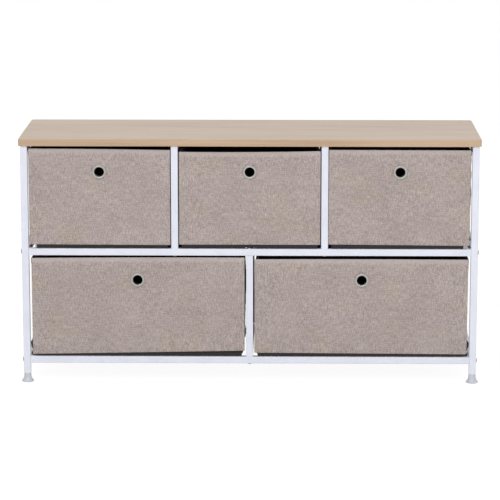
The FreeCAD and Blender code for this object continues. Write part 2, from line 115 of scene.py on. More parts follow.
def pick(piece, kind, wanted):
    # In edit mode: selects only the verts, edges or faces for which wanted(part) is true.
    bpy.ops.mesh.select_mode(type=kind[:-1].upper())
    bpy.ops.mesh.select_all(action="DESELECT")
    shape = bmesh.from_edit_mesh(piece.data)
    for part in getattr(shape, kind):
        if wanted(part):
            part.select_set(True)
    shape.select_flush(True)
    bmesh.update_edit_mesh(piece.data)


def runsAlong(edge, axis):
    step = (edge.verts[1].co - edge.verts[0].co).normalized()
    return abs(step[axis]) > 0.999


def isSharp(edge):
    return edge.calc_face_angle(0) > 1.2


def roundPicked(offset, segments=3):
    bpy.ops.mesh.bevel(offset=offset, segments=segments, profile=0.5)


def cutEvenly(low, high, counts):
    # In edit mode: cuts the mesh into this many even parts along each axis.
    for axis, count in enumerate(counts):
        for step in range(1, count):
            spot, normal = [0, 0, 0], [0, 0, 0]
            spot[axis] = low[axis] + (high[axis] - low[axis]) * step / count
            normal[axis] = 1
            pickAll()
            bpy.ops.mesh.bisect(plane_co=spot, plane_no=normal)


def applyModifier(piece, kind, **settings):
    workOn(piece)
    modifier = piece.modifiers.new(kind.lower(), kind)
    for name, value in settings.items():
        setattr(modifier, name, value)
    bpy.ops.object.modifier_apply(modifier=modifier.name)


def copyOf(piece, name):
    twin = piece.copy()
    twin.data = piece.data.copy()
    twin.name = name
    bpy.context.scene.collection.objects.link(twin)
    return twin


def joinAll(pieces, name):
    workOn(*pieces)
    if len(pieces) > 1:
        bpy.ops.object.join()
    pieces[0].name = name
    return pieces[0]


def settle(piece):
    # Puts the object's own place and turn into its mesh.
    workOn(piece)
    bpy.ops.object.transform_apply(location=True, rotation=True, scale=True)


def place(piece, spot, tilt=(0, 0, 0)):
    piece.rotation_euler = [math.radians(angle) for angle in tilt]
    piece.location = spot
    settle(piece)
    return piece


def startFrom(addShape, name, **settings):
    # A primitive to be shaped further.
    selectNothing()
    addShape(**settings)
    bpy.context.object.name = name
    return bpy.context.object


def newBox(name, low, high):
    # A cube stretched between two corners.
    box = startFrom(bpy.ops.mesh.primitive_cube_add, name, size=1)
    box.scale = [b - a for a, b in zip(low, high)]
    box.location = [(a + b) / 2 for a, b in zip(low, high)]
    settle(box)
    return box


def turned(name, profile, steps, closed=False):
    # A profile of (radius, height) points drawn from one vertex and spun round Z.
    piece = startFrom(bpy.ops.mesh.primitive_plane_add, name, size=mm)
    startEditing(piece)
    bpy.ops.mesh.select_mode(type="VERT")
    pickAll()
    bpy.ops.mesh.merge(type="CENTER")
    points = [Vector((radius, 0, height)) for radius, height in profile]
    if closed:
        points.append(points[0])
    bpy.ops.transform.translate(value=points[0])
    for last, here in zip(points, points[1:]):
        bpy.ops.mesh.extrude_vertices_move(TRANSFORM_OT_translate={"value": here - last})
    pickAll()
    bpy.ops.mesh.spin(steps=steps, angle=math.tau, center=(0, 0, 0), axis=(0, 0, 1))
    pickAll()
    bpy.ops.mesh.remove_doubles(threshold=1e-6)
    bpy.ops.mesh.normals_make_consistent(inside=False)
    stopEditing()
    return piece


def arc(centre, radii, start, end, count):
    # Points of an arc or a stretched arc, angles in degrees from the outward direction.
    turns = [math.radians(start + (end - start) * n / count) for n in range(count + 1)]
    (x, y), (wide, tall) = centre, radii
    return [(x + wide * math.cos(turn), y + tall * math.sin(turn)) for turn in turns]


def ridgedRod(name, radii, length, taper, steps):
    # A rod with closed ends and these radii along its length, narrower at its first and last.
    last = len(radii) - 1
    rings = [(0, 0)]
    for n, radius in enumerate(radii):
        rings.append((radius * (taper if n in (0, last) else 1), length * n / last))
    return turned(name, rings + [(0, length)], steps)


def threadTurns(radius, cut, start, end, pitch):
    # Crests and roots of a screw thread from one height to another, as (radius, height).
    points, height = [], start
    while abs(height - start) < abs(end - start):
        points += [(radius, height), (radius - cut, height + pitch / 2)]
        height += pitch
    return points


# Tools for finishes

def newFinish(name, constants):
    # A material with these values on its shader's own sockets.
    mat = bpy.data.materials.new(name)
    mat.use_nodes = True
    for socket, value in constants.items():
        mat.node_tree.nodes["Principled BSDF"].inputs[socket].default_value = value
    return mat


def addNode(mat, kind, inputs=(), **settings):
    node = mat.node_tree.nodes.new("ShaderNode" + kind)
    for name, value in settings.items():
        setattr(node, name, value)
    for socket, value in dict(inputs).items():
        if isinstance(value, bpy.types.NodeSocket):
            mat.node_tree.links.new(value, node.inputs[socket])
        else:
            node.inputs[socket].default_value = value
    return node


def wire(mat, source, socket):
    shader = mat.node_tree.nodes["Principled BSDF"]
    mat.node_tree.links.new(source, shader.inputs[socket])


def coords(mat, perMm=1):
    # Object coordinates in millimetres, times one factor or one for each axis.
    if not isinstance(perMm, tuple):
        perMm = (perMm,) * 3
    where = addNode(mat, "TexCoord").outputs["Object"]
    scale = [1000 * factor for factor in perMm]
    return addNode(mat, "Mapping", {"Vector": where, "Scale": scale}).outputs["Vector"]


def noiseAt(mat, perMm, detail=2, rough=0.5):
    sockets = {"Vector": coords(mat, perMm), "Scale": 1, "Detail": detail, "Roughness": rough}
    return addNode(mat, "TexNoise", sockets).outputs["Fac"]


def combine(mat, a, b, kind="ADD"):
    return addNode(mat, "Math", {0: a, 1: b}, operation=kind).outputs[0]


def weigh(mat, *parts):
    # The sum of (channel, share) pairs, each channel times its share.
    total = None
    for channel, share in parts:
        scaled = combine(mat, channel, share, "MULTIPLY")
        total = combine(mat, total, scaled) if total else scaled
    return total


def span(mat, factor, low, high, lowOut=0.0, highOut=1.0):
    ends = {"From Min": low, "From Max": high, "To Min": lowOut, "To Max": highOut}
    return addNode(mat, "MapRange", {"Value": factor, **ends}).outputs["Result"]


def ramp(mat, factor, stops):
    node = addNode(mat, "ValToRGB", {"Fac": factor})
    band = node.color_ramp
    while len(band.elements) < len(stops):
        band.elements.new(0.5)
    for element, (spot, colour) in zip(band.elements, stops):
        element.position = spot
        element.color = (*colour, 1)
    return node.outputs["Color"]


def blendColour(mat, factor, first, second, kind="MIX"):
    first, second = [(*side, 1) if isinstance(side, tuple) else side for side in (first, second)]
    sockets = {0: factor, 6: first, 7: second}
    return addNode(mat, "Mix", sockets, data_type="RGBA", blend_type=kind).outputs[2]


def dimmed(colour, share):
    return tuple(share * channel for channel in colour)


def facingUp(mat):
    normal = addNode(mat, "NewGeometry").outputs["Normal"]
    return addNode(mat, "SeparateXYZ", {"Vector": normal}).outputs["Z"]


def colourFrom(mat, channel, stops):
    wire(mat, ramp(mat, channel, stops), "Base Color")


def glossFrom(mat, channel, low, high):
    wire(mat, span(mat, channel, 0.3, 0.7, low, high), "Roughness")


def bump(mat, height, depth, strength):
    node = addNode(mat, "Bump", {"Height": height, "Strength": strength, "Distance": depth})
    wire(mat, node.outputs["Normal"], "Normal")


# Finishes: every perMm is a pattern's scale, and depth is how deep its bump goes.

linenValues = {
    "dark": (0.250, 0.203, 0.190),
    "middle": (0.418, 0.352, 0.334),
    "light": (0.625, 0.548, 0.524),
    "toneRange": (1.36, 2.14),
    "threadPerMm": 0.85, "slubPerMm": 0.10, "uprightShare": 1.25, "levelShare": 0.75,
    "fleckPerMm": 0.62, "fleckShare": 1.3, "patchPerMm": 0.016, "patchShare": 0.2,
    "warmCast": (1.0, 0.995, 0.91),
    "castPerMm": (0.011, 0.011, 0.019),
    "castRange": (0.54, 0.74),
    # rolled is a painted highlight colour: lighter linen put where the surface faces up, on the
    # curled top edge, standing in for light falling from above.
    "rolled": (0.535, 0.474, 0.458),
    "paintedHighlightRange": (0.03, 0.14),
    "paintedHighlightShare": 0.55, "pitch": 1.15, "weaveShare": 0.35, "depth": 0.16 * mm,
}


def linenFinish():
    # Greige linen look: slubby upright and level threads, flecks, and a plain weave, plus a painted
    # highlight: a lighter colour where the linen faces up, as on its curled top edge, standing in
    # for light from above.
    v = linenValues
    mat = newFinish("linen", {
        "Roughness": 0.88, "Sheen Weight": 0.10, "Sheen Roughness": 0.5, "Specular IOR Level": 0.2,
    })
    fine, long = v["threadPerMm"], v["slubPerMm"]
    upright = noiseAt(mat, (fine, fine, long), 3, 0.6)
    level = noiseAt(mat, (long, long, fine), 3, 0.6)
    flecks = noiseAt(mat, v["fleckPerMm"], 2, 0.65)
    patches = noiseAt(mat, v["patchPerMm"])
    threads = weigh(mat, (upright, v["uprightShare"]), (level, v["levelShare"]))
    tone = weigh(mat, (threads, 1), (flecks, v["fleckShare"]), (patches, v["patchShare"]))
    colour = ramp(mat, span(mat, tone, *v["toneRange"]), [
        (0.0, v["dark"]), (0.5, v["middle"]), (1.0, v["light"]),
    ])
    warm = span(mat, noiseAt(mat, v["castPerMm"], 3), *v["castRange"])
    colour = blendColour(mat, warm, colour, v["warmCast"], "MULTIPLY")
    # Painted highlight: up-facing linen is blended towards the lighter rolled colour.
    upward = span(mat, facingUp(mat), *v["paintedHighlightRange"], 0, v["paintedHighlightShare"])
    wire(mat, blendColour(mat, upward, colour, v["rolled"]), "Base Color")
    cell = addNode(mat, "SeparateXYZ", {"Vector": coords(mat, math.tau / v["pitch"])})
    over, under = [combine(mat, cell.outputs[axis], 0, "SINE") for axis in "XZ"]
    weave = weigh(mat, (combine(mat, over, under, "MULTIPLY"), v["weaveShare"]))
    bump(mat, combine(mat, weave, threads), v["depth"], 0.7)
    return mat


binValues = {
    "base": (0.0125, 0.0115, 0.0110),
    "fibre": (0.034, 0.0315, 0.0305),
    "bondsPerMm": 0.62, "fibresPerMm": 1.8, "depth": 0.26 * mm,
}


def binFinish():
    # Black non-woven cloth: pressed bond points in loose fibre.
    v = binValues
    mat = newFinish("binCloth", {
        "Roughness": 0.82, "Sheen Weight": 0.06, "Specular IOR Level": 0.3,
    })
    bonds = addNode(mat, "TexVoronoi", {
        "Vector": coords(mat), "Scale": v["bondsPerMm"], "Randomness": 0.25,
    }).outputs["Distance"]
    fibres = noiseAt(mat, v["fibresPerMm"], 4, 0.7)
    raised = span(mat, bonds, 0.1, 0.45)
    tone = weigh(mat, (combine(mat, raised, fibres), 0.5))
    colourFrom(mat, tone, [(0.15, v["base"]), (0.95, v["fibre"])])
    bump(mat, tone, v["depth"], 0.7)
    return mat


threadValues = {"colour": (0.070, 0.066, 0.064), "strandsPerMm": 3, "depth": 0.08 * mm}


def threadFinish():
    # Sewing thread, a shade lighter than the cloth.
    v = threadValues
    mat = newFinish("binThread", {"Roughness": 0.5, "Sheen Weight": 0.05})
    strands = noiseAt(mat, v["strandsPerMm"])
    colourFrom(mat, strands, [(0.35, dimmed(v["colour"], 0.6)), (0.65, v["colour"])])
    bump(mat, strands, v["depth"], 0.5)
    return mat


def hardFinish(name, constants, fine, cloud, stops, gloss, depth, strength):
    # Colour drifts with a broad cloud, and gloss and bump follow a fine texture. Both are given
    # as noiseAt takes them.
    mat = newFinish(name, constants)
    texture = noiseAt(mat, *fine)
    colourFrom(mat, noiseAt(mat, *cloud), stops)
    glossFrom(mat, texture, *gloss)
    bump(mat, texture, depth, strength)
    return mat


paintValues = {
    "white": (0.800, 0.826, 0.920),
    "shade": (0.760, 0.786, 0.878),
    "peelPerMm": 0.55, "cloudPerMm": 0.03,
    "gloss": (0.32, 0.46),
    "depth": 0.06 * mm,
}


def paintFinish():
    # White powder coat: orange peel and a little unevenness in thickness.
    v = paintValues
    return hardFinish(
        "framePaint", {"Roughness": 0.38, "Coat Weight": 0.08, "Coat Roughness": 0.25},
        [v["peelPerMm"]], [v["cloudPerMm"], 3], [(0.3, v["shade"]), (0.6, v["white"])],
        v["gloss"], v["depth"], 0.5)


boardValues = {
    "pale": (0.668, 0.532, 0.410),
    "middle": (0.616, 0.480, 0.363),
    "grain": (0.530, 0.396, 0.288),
    "edgePale": (0.565, 0.405, 0.270),
    "edgeDark": (0.470, 0.322, 0.205),
    "backing": (0.42, 0.38, 0.33),
    "swellPerMm": (0.0022, 0.010, 0.010),
    "swellShare": 0.38,
    "grainPerMm": (0.004, 0.16, 0.16),
    "grainShare": 0.62,
    "poresPerMm": (0.02, 1.1, 1.1),
    "depth": 0.05 * mm,
}


def boardFinish():
    # Pale wood-look laminate, grain along the length, with a warmer edge band.
    v = boardValues
    mat = newFinish("board", {"Roughness": 0.46, "Coat Weight": 0.05, "Coat Roughness": 0.3})
    swell = noiseAt(mat, v["swellPerMm"])
    grain = noiseAt(mat, v["grainPerMm"], 5, 0.62)
    pores = noiseAt(mat, v["poresPerMm"])
    tone = weigh(mat, (grain, v["grainShare"]), (swell, v["swellShare"]))
    face = ramp(mat, tone, [(0.36, v["grain"]), (0.47, v["middle"]), (0.60, v["pale"])])
    dotted = span(mat, pores, 0.30, 0.42)
    face = blendColour(mat, dotted, dimmed(v["middle"], 0.86), face)
    band = ramp(mat, tone, [(0.38, v["edgeDark"]), (0.58, v["edgePale"])])
    upward = facingUp(mat)
    colour = blendColour(mat, span(mat, upward, 0.55, 0.85), band, face)
    colour = blendColour(mat, span(mat, upward, -0.9, -0.6), v["backing"], colour)
    wire(mat, colour, "Base Color")
    glossFrom(mat, tone, 0.52, 0.40)
    bump(mat, combine(mat, tone, pores), v["depth"], 0.5)
    return mat


def metalFinish(name, tint, roughness, scratchPerMm, unevenness):
    # Plated metal: fine wiping scratches and slightly uneven gloss.
    return hardFinish(
        name, {"Roughness": roughness, "Metallic": 1},
        [(scratchPerMm, scratchPerMm * 0.1, scratchPerMm), 4], [0.2],
        [(0.35, dimmed(tint, 1 - unevenness)), (0.65, tint)],
        (roughness * 0.8, roughness * 1.3), 0.02 * mm, 0.3)


def plasticFinish(name, dark, light, roughness):
    # Moulded plastic: fine texture and soft flow marks.
    return hardFinish(
        name, {"Roughness": roughness}, [2.2], [(0.12, 0.12, 0.05)],
        [(0.3, dark), (0.7, light)], (roughness * 0.9, roughness * 1.15), 0.04 * mm, 0.4)


finishes = {
    "board": boardFinish(),
    "frame_paint": paintFinish(),
    "bolt": metalFinish("boltZinc", (0.36, 0.36, 0.375), 0.36, 0.8, 0.12),
    "screw": metalFinish("screwZinc", (0.60, 0.60, 0.62), 0.34, 0.8, 0.15),
    "plug": plasticFinish("plugNylon", (0.030, 0.030, 0.031), (0.048, 0.048, 0.050), 0.5),
    "foot": plasticFinish("footPlastic", (0.570, 0.584, 0.650), (0.640, 0.655, 0.722), 0.36),
    "linen": linenFinish(),
    "bin_fabric": binFinish(),
    "base_board": binFinish(),
    "eyelet": metalFinish("eyeletNickel", (0.44, 0.43, 0.41), 0.38, 1.1, 0.08),
}

for part in frame["record"]["subparts"]:
    for slot in frame["nodes"][part["node"]].material_slots:
        slot.link = "OBJECT"
        slot.material = finishes[part["material_slot"]]
print("finishes made:", len(finishes))


def finishPiece(piece, body, slotName, nodes=(), smoothAngle=35, mat=None):
    settle(piece)
    bpy.ops.object.shade_smooth_by_angle(angle=math.radians(smoothAngle))
    piece.data.materials.clear()
    piece.data.materials.append(mat or finishes[slotName])
    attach(piece, body)
    if nodes:
        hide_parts(*nodes)


# Levelling feet

footValues = {"steps": 40, "bellCurve": 2.7} | inMm(
    height=19.8, neck=7.7, waist=7.9, flare=13.5, sole=11.6, soleEdge=0.8, soleRise=0.15, rim=1.9,
    collar=4.2, stud=4.0, point=0.9, threadDepth=0.35, pitch=1.25)


def footProfile(tip):
    # Sole, rounded rim, concave bell, collar and stud, as (radius, height).
    v = footValues
    height, waist, neck = v["height"], v["waist"], v["neck"]
    points = [(0, 0), (v["sole"] - v["soleEdge"], 0), (v["sole"], v["soleRise"])]
    rim = v["rim"]
    points += arc((v["flare"] - rim, rim), (rim, rim - v["soleRise"]), -70, 60, 8)
    wide, start, end = points[-1][0] - 0.45 * mm, points[-1][1] + 0.5 * mm, height - v["collar"]
    for t in [n / 9 for n in range(10)]:
        radius = waist + (wide - waist) * (1 - t) ** v["bellCurve"]
        points.append((radius, start + (end - start) * t))
    points += [(neck + 0.15 * mm, end + 0.2 * mm), (neck, end + 0.5 * mm)]
    points += [(neck, height - 0.6 * mm), (neck - 0.4 * mm, height), (v["stud"], height)]
    start, end = height + 0.6 * mm, tip - 1.6 * mm
    points += threadTurns(v["stud"], v["threadDepth"], start, end, v["pitch"])
    points.append((v["stud"], points[-1][1] + v["pitch"] / 2))
    return points + [(v["stud"] - v["point"], tip), (0, tip)]


def makeFeet():
    first = None
    for name in [node for node in frame["nodes"] if node.endswith("_foot")]:
        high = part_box(name)[1]
        if first is None:
            first = turned("footMaster", footProfile(high.z), footValues["steps"])
        foot = copyOf(first, name.replace("_foot", "Foot"))
        place(foot, (middleOf(name).x, middleOf(name).y, 0))
        finishPiece(foot, name + "_body", "foot", [name], 40)
    bpy.data.objects.remove(first)


makeFeet()
print("feet made")

# Eyelets

eyeletValues = {"steps": 56, "fullness": 0.6} | inMm(
    bore=10.3, shell=0.8, flange=15.2, crown=3.4, overhang=0.4, lip=2.5, lipRise=1.0, washer=15.0,
    washerInner=11.2, washerThickness=1.0, washerEdge=0.25)


def eyeletProfile(grip):
    # (radius, height), with height 0 on the linen's face and growing into the bin.
    v = eyeletValues
    middle, half = (v["bore"] + v["flange"]) / 2, (v["flange"] - v["bore"]) / 2
    front = []
    for across, up in arc((0, 0), (1, 1), 180, 0, 16):
        across = math.copysign(abs(across) ** v["fullness"], across)
        up = abs(up) ** v["fullness"] * (v["crown"] - v["overhang"])
        front.append((middle + half * across, -v["overhang"] - up))
    front += [(v["flange"] - 0.5 * mm, -0.15 * mm), (v["flange"] - 1.6 * mm, 0)]
    outer = v["bore"] + v["shell"]
    rolled = arc((v["bore"] + v["lip"] / 2, grip), (v["lip"] / 2, v["lipRise"]), 0, 180, 8)
    return front + [(outer, 0), (outer, grip)] + rolled


def washerProfile(grip):
    v = eyeletValues
    inner, outer, edge = v["washerInner"], v["washer"], v["washerEdge"]
    back = grip - v["washerThickness"]
    return [
        (inner, back), (outer - edge, back), (outer, back + edge),
        (outer, grip - edge), (outer - edge, grip), (inner, grip),
    ]


def makeEyelets():
    first, steps = None, eyeletValues["steps"]
    for body in drawers:
        node = partOf(body, "_eyelet")
        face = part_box(partOf(body, "_front_panel"))[0].y
        if first is None:
            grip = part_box(node)[1].y - face - eyeletValues["lipRise"]
            ring = turned("eyeletMaster", eyeletProfile(grip), steps, closed=True)
            washer = turned("washerMaster", washerProfile(grip), steps, closed=True)
            first = place(joinAll([ring, washer], "eyeletMaster"), (0, 0, 0), (-90, 0, 0))
        eyelet = copyOf(first, partOf(body, "Eyelet"))
        place(eyelet, (middleOf(node).x, face, middleOf(node).z))
        finishPiece(eyelet, body, "eyelet", [node], 50)
    bpy.data.objects.remove(first)


makeEyelets()
print("eyelets made")

# Linen drawer fronts

frontValues = {"ripplesPerM": 9, "curlPower": 1.4} | inMm(
    cell=4, hole=12.9, patch=20, edge=1.7, edgeReach=6, crown=0.7, ripple=0.30, dimpleReach=22,
    stillReach=24, curl=1.5, curlReach=11)

# How each front hangs, in mm: sideways at its foot and at its head, the rise of its four
# corners (top left, top right, bottom left, bottom right), and the sag of its top edge.
frontHang = {
    "upper_left_drawer": (0.3, 0.2, 1.7, -1.1, 0.6, -0.5, -0.6),
    "upper_middle_drawer": (0.0, 0.3, -4.9, -2.8, 0.6, 0.7, 1.2),
    "upper_right_drawer": (-1.6, -0.6, 0.1, -0.5, 1.6, -0.7, 0.0),
    "lower_left_drawer": (0.8, 0.8, -1.1, 0.9, -4.0, 4.5, -0.8),
    "lower_right_drawer": (-1.6, -0.6, -2.8, -2.6, 0.3, -2.0, -0.7),
}


def headRise(body, across):
    # How far a front's top edge stands above its plain place, at a share of its width.
    topLeft, topRight, sag = [frontHang[body][n] * mm for n in (2, 3, 6)]
    return topLeft * (1 - across) + topRight * across - sag * 4 * across * (1 - across)


def roundOff(piece, eye, radius, share):
    # Moves the selected loop part of the way to a circle round the eye.
    shape = bmesh.from_edit_mesh(piece.data)
    for vert in shape.verts:
        if vert.select:
            out = Vector((vert.co.x - eye.x, 0, vert.co.z - eye.z)).normalized() * radius
            goal = Vector((eye.x + out.x, vert.co.y, eye.z + out.z))
            vert.co = vert.co.lerp(goal, share)
    bmesh.update_edit_mesh(piece.data)


def openHole(piece, frontY, eye, reach, radius, shares):
    # In edit mode: works a round hole for the eyelet into the cells of the front face.
    def near(spot, most):
        return spot.y < frontY + mm and max(abs(spot.x - eye.x), abs(spot.z - eye.z)) < most

    pick(piece, "faces", lambda face: near(face.calc_center_median(), reach))
    bpy.ops.mesh.delete(type="FACE")
    pick(piece, "edges", lambda edge: len(edge.link_faces) == 1 and all(
        near(vert.co, 2 * reach) for vert in edge.verts))
    for share in shares:
        bpy.ops.mesh.extrude_edges_move(TRANSFORM_OT_translate={"value": (0, 0, 0)})
        roundOff(piece, eye, radius, share)
    pickAll()
    bpy.ops.mesh.normals_make_consistent(inside=False)


def gridWithHole(name, low, high, eye):
    # A sheet of square cells in the XZ plane with the eyelet's hole.
    v = frontValues
    width, height = high.x - low.x, high.z - low.z
    columns, rows = round(width / v["cell"]), round(height / v["cell"])
    panel = startFrom(
        bpy.ops.mesh.primitive_grid_add, name, x_subdivisions=columns, y_subdivisions=rows, size=1)
    panel.scale = (width, height, 1)
    place(panel, ((low.x + high.x) / 2, low.y, (low.z + high.z) / 2), (90, 0, 0))
    startEditing(panel)
    openHole(panel, low.y, eye, v["patch"], v["hole"], (0.4, 0.6, 1.0))
    stopEditing()
    return panel


def hangFront(panel, low, high, eye, hang, seed):
    # Crown, small ripples, the flat round the eyelet, and the way the front hangs.
    v = frontValues
    sideLow, sideHigh, topLeft, topRight, lowLeft, lowRight, sag = [value * mm for value in hang]
    for vert in panel.data.vertices:
        across = (vert.co.x - low.x) / (high.x - low.x)
        up = (vert.co.z - low.z) / (high.z - low.z)
        fade = 16 * across * (1 - across) * up * (1 - up)
        at = Vector((vert.co.x * v["ripplesPerM"], vert.co.z * v["ripplesPerM"], seed * 7.3))
        away = math.hypot(vert.co.x - eye.x, vert.co.z - eye.z)
        pull = math.exp(-((away / v["dimpleReach"]) ** 2))
        swell = v["crown"] * math.sqrt(max(fade, 0)) * (1 - pull)
        wave = v["ripple"] * noise.noise(at) * (1 - pull)
        rise = (topLeft * (1 - across) + topRight * across) * up
        rise += (lowLeft * (1 - across) + lowRight * across) * (1 - up)
        rise -= sag * 4 * across * (1 - across) * up ** 3
        free = 1 - max(0, 1 - (away / v["stillReach"]) ** 2)
        curl = max(0, 1 - (high.z - vert.co.z) / v["curlReach"]) ** v["curlPower"]
        vert.co.y -= swell + wave - v["curl"] * curl
        vert.co.z += rise * free
        vert.co.x += (sideLow * (1 - up) + sideHigh * up) * free


def bevelRim(panel, low, high):
    # Rounds the front rim of the wrapped board.
    v = frontValues
    middle = (low + high) / 2
    halfWide = (high.x - low.x) / 2 - v["edgeReach"]
    halfTall = (high.z - low.z) / 2 - v["edgeReach"]
    startEditing(panel)
    pick(panel, "edges", lambda edge: isSharp(edge) and all(
        abs(vert.co.x - middle.x) > halfWide or abs(vert.co.z - middle.z) > halfTall
        for vert in edge.verts))
    roundPicked(v["edge"], 4)
    stopEditing()


def makeFronts():
    for seed, body in enumerate(drawers):
        node = partOf(body, "_front_panel")
        low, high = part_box(node)
        eye = middleOf(partOf(body, "_eyelet"))
        panel = gridWithHole(partOf(body, "Front"), low, high, eye)
        hangFront(panel, low, high, eye, frontHang[body], seed)
        applyModifier(panel, "SOLIDIFY", thickness=high.y - low.y, offset=-1)
        bevelRim(panel, low, high)
        finishPiece(panel, body, "linen", [node], 40)


makeFronts()
print("fronts made")

# Black fabric bins

binShape = inMm(
    cell=10, hole=11.3, holeReach=16, wall=1.7, side=1.0, lift=3.0, rearRound=6, lowRound=7.5,
    hem=12, hemThickness=3.3, hemEdge=0.7, seam=1.1, seamFoot=16)

# How far the walls bow, belly, wrinkle and bulge near the front foot, in mm, where the bulge
# is and how tall, and the most that the cloth may move.
bowIn = 2.6 * mm
rearWrinkle = 1.4 * mm
rowSlack = {
    "upper": {"belly": 1.3, "wrinkle": 0.9, "bulge": 3.9, "at": 20, "spread": 8, "most": 3.8},
    "lower": {"belly": 2.0, "wrinkle": 1.3, "bulge": 6.2, "at": 27, "spread": 10, "most": 6.0},
}
# The share of that bulge at each bin's left and right side.
bulgeSides = {
    "upper_left_drawer": (0.2, 0.2),
    "upper_middle_drawer": (0.3, 0.2),
    "upper_right_drawer": (0.2, 1.0),
    "lower_left_drawer": (1.0, 0.3),
    "lower_right_drawer": (0.3, 1.0),
}
# How far the outer side walls lean out at the front of the open top, left and right, in mm.
leanOut = {
    "upper_left_drawer": (2.6, 0),
    "upper_right_drawer": (0, 2.6),
    "lower_left_drawer": (2.0, 0),
    "lower_right_drawer": (0, 2.0),
}
# Outer corners at the front foot that are turned up a little, as (side, how far in mm), and
# how far that reaches inwards, backwards and upwards.
turnedUp = {"upper_left_drawer": (-1, 4.8), "upper_right_drawer": (1, 4.8)}
upturnReach = {"in": 22 * mm, "back": 42 * mm, "up": 22 * mm}
# Fronts whose side seam shows beside the linen, with how far it stands out, in mm.
seamOut = {"lower_right_drawer": (0, 0.4), "lower_left_drawer": (0.4, 0.8)}


def cornerRise(body, spot, low, high):
    # How far a point near a turned-up front corner is lifted, fading away from the corner.
    side, most = turnedUp.get(body, (0, 0))
    if not most:
        return 0
    edge = high.x if side > 0 else low.x
    inward = max(0, 1 - abs(spot.x - edge) / upturnReach["in"])
    back = max(0, 1 - (spot.y - low.y) / upturnReach["back"])
    up = max(0, 1 - (spot.z - low.z - binShape["lift"]) / upturnReach["up"])
    return most * mm * min(1, 1.6 * inward) * min(1, 1.4 * back) * up


def binShell(name, low, high, middle, half, backY, eye):
    # One open shell: rounded lower sides and rear corners, cut into even cells.
    v = binShape
    floor = low.z + v["lift"]
    shell = newBox(name, (middle - half, low.y, floor), (middle + half, backY, high.z))
    startEditing(shell)
    pick(shell, "faces", lambda face: face.normal.z > 0.5)
    bpy.ops.mesh.delete(type="FACE")
    pick(shell, "edges", lambda edge: runsAlong(edge, 1) and edge.verts[0].co.z < floor + mm)
    roundPicked(v["lowRound"], 5)
    pick(shell, "edges", lambda edge: runsAlong(edge, 2) and edge.verts[0].co.y > backY - mm)
    roundPicked(v["rearRound"], 4)
    cutEvenly(low, high, [max(2, round((b - a) / v["cell"])) for a, b in zip(low, high)])
    pickAll()
    bpy.ops.mesh.bisect(plane_co=(0, 0, high.z - v["hem"]), plane_no=(0, 0, 1))
    openHole(shell, low.y, eye, v["holeReach"], v["hole"], (0.5, 1.0))
    stopEditing()
    return shell


def slacken(shell, low, high, middle, half, body, seed):
    # Soft walls: they bow in at the rim, belly and wrinkle below it, and bulge at the foot.
    slack = rowSlack[body.split("_")[0]]
    for vert in shell.data.vertices:
        up = (vert.co.z - low.z) / (high.z - low.z)
        along = (vert.co.y - low.y) / (high.y - low.y)
        sign = math.copysign(1, vert.co.x - middle)
        side = max(0, (abs(vert.co.x - middle) - half + 4 * mm) / (4 * mm))
        at = Vector((vert.co.x * 11 + seed, vert.co.y * 11, vert.co.z * 13))
        wrinkle = noise.noise(at) + 0.5 * noise.noise(at * 2.3)
        belowRim = min(1, (1 - up) * 7)
        ease = belowRim * min(1, along * 12 + 0.1)
        belly = math.sin(math.pi * min(1, up * 1.1)) ** 2 * math.sin(math.pi * min(1, along * 1.1))
        foot = (vert.co.z - low.z) / mm - slack["at"]
        bulge = slack["bulge"] * bulgeSides[body][sign > 0]
        bulge *= math.exp(-((foot / slack["spread"]) ** 4)) * math.exp(-along * 6)
        out = ease * (slack["belly"] * belly + slack["wrinkle"] * wrinkle) + bulge
        bow = bowIn * math.sin(math.pi * along) * max(0, up) ** 3
        bow -= leanOut.get(body, (0, 0))[sign > 0] * mm * max(0, up) ** 3 * max(0, 1 - 1.7 * along)
        vert.co.x += sign * (side * min(out, slack["most"]) * mm - bow * side)
        if vert.co.y > high.y - 6 * mm:
            across = (vert.co.x - middle) / half
            rear = max(0, 1 - across * across)
            vert.co.y -= rear * up ** 3 * bowIn + rearWrinkle * max(0, wrinkle) * belowRim


clothValues = {
    "frames": 22, "quality": 6, "slack": -0.016, "mass": 0.16, "tension": 12, "bending": 0.35,
    "cornerHold": 0.7, "inward": 5.0 * mm, "backward": 0.8 * mm,
}


def clothSettle(shell, low, high, middle, half, backY, most):
    # Lets the slack side and rear walls settle as cloth, held at rim, front, floor and seams.
    v, w = clothValues, binShape
    held = shell.vertex_groups.new(name="held")
    for vert in shell.data.vertices:
        fixed = vert.co.z > high.z - w["hem"] - mm or vert.co.y < low.y + mm
        fixed = fixed or vert.co.z < low.z + w["lift"] + mm
        corner = (abs(vert.co.x - middle) > half - w["rearRound"]
                  and vert.co.y > backY - w["rearRound"])
        if fixed or corner:
            held.add([vert.index], 1.0 if fixed else v["cornerHold"], "REPLACE")
    before = [vert.co.copy() for vert in shell.data.vertices]
    workOn(shell)
    modifier = shell.modifiers.new("cloth", "CLOTH")
    cloth = modifier.settings
    cloth.vertex_group_mass = held.name
    cloth.quality = v["quality"]
    cloth.mass = v["mass"]
    cloth.tension_stiffness = cloth.compression_stiffness = v["tension"]
    cloth.shear_stiffness = v["tension"] / 3
    cloth.bending_stiffness = v["bending"]
    cloth.shrink_min = v["slack"]
    modifier.collision_settings.use_collision = False
    modifier.point_cache.frame_start, modifier.point_cache.frame_end = 1, v["frames"]
    for number in range(1, v["frames"] + 1):
        bpy.context.scene.frame_set(number)
    bpy.ops.object.modifier_apply(modifier=modifier.name)
    bpy.context.scene.frame_set(1)
    shell.vertex_groups.clear()
    for vert, old in zip(shell.data.vertices, before):
        move = vert.co - old
        outward = move.x * math.copysign(1, old.x - middle)
        limit = most if outward > 0 or move.y > 0 else v["inward"]
        if move.length > limit:
            move *= limit / move.length
        spot = old + move
        spot.x = middle + max(-half - most, min(half + most, spot.x - middle))
        spot.y = min(spot.y, backY + v["backward"])
        spot.z = max(spot.z, low.z + w["lift"])
        vert.co = spot


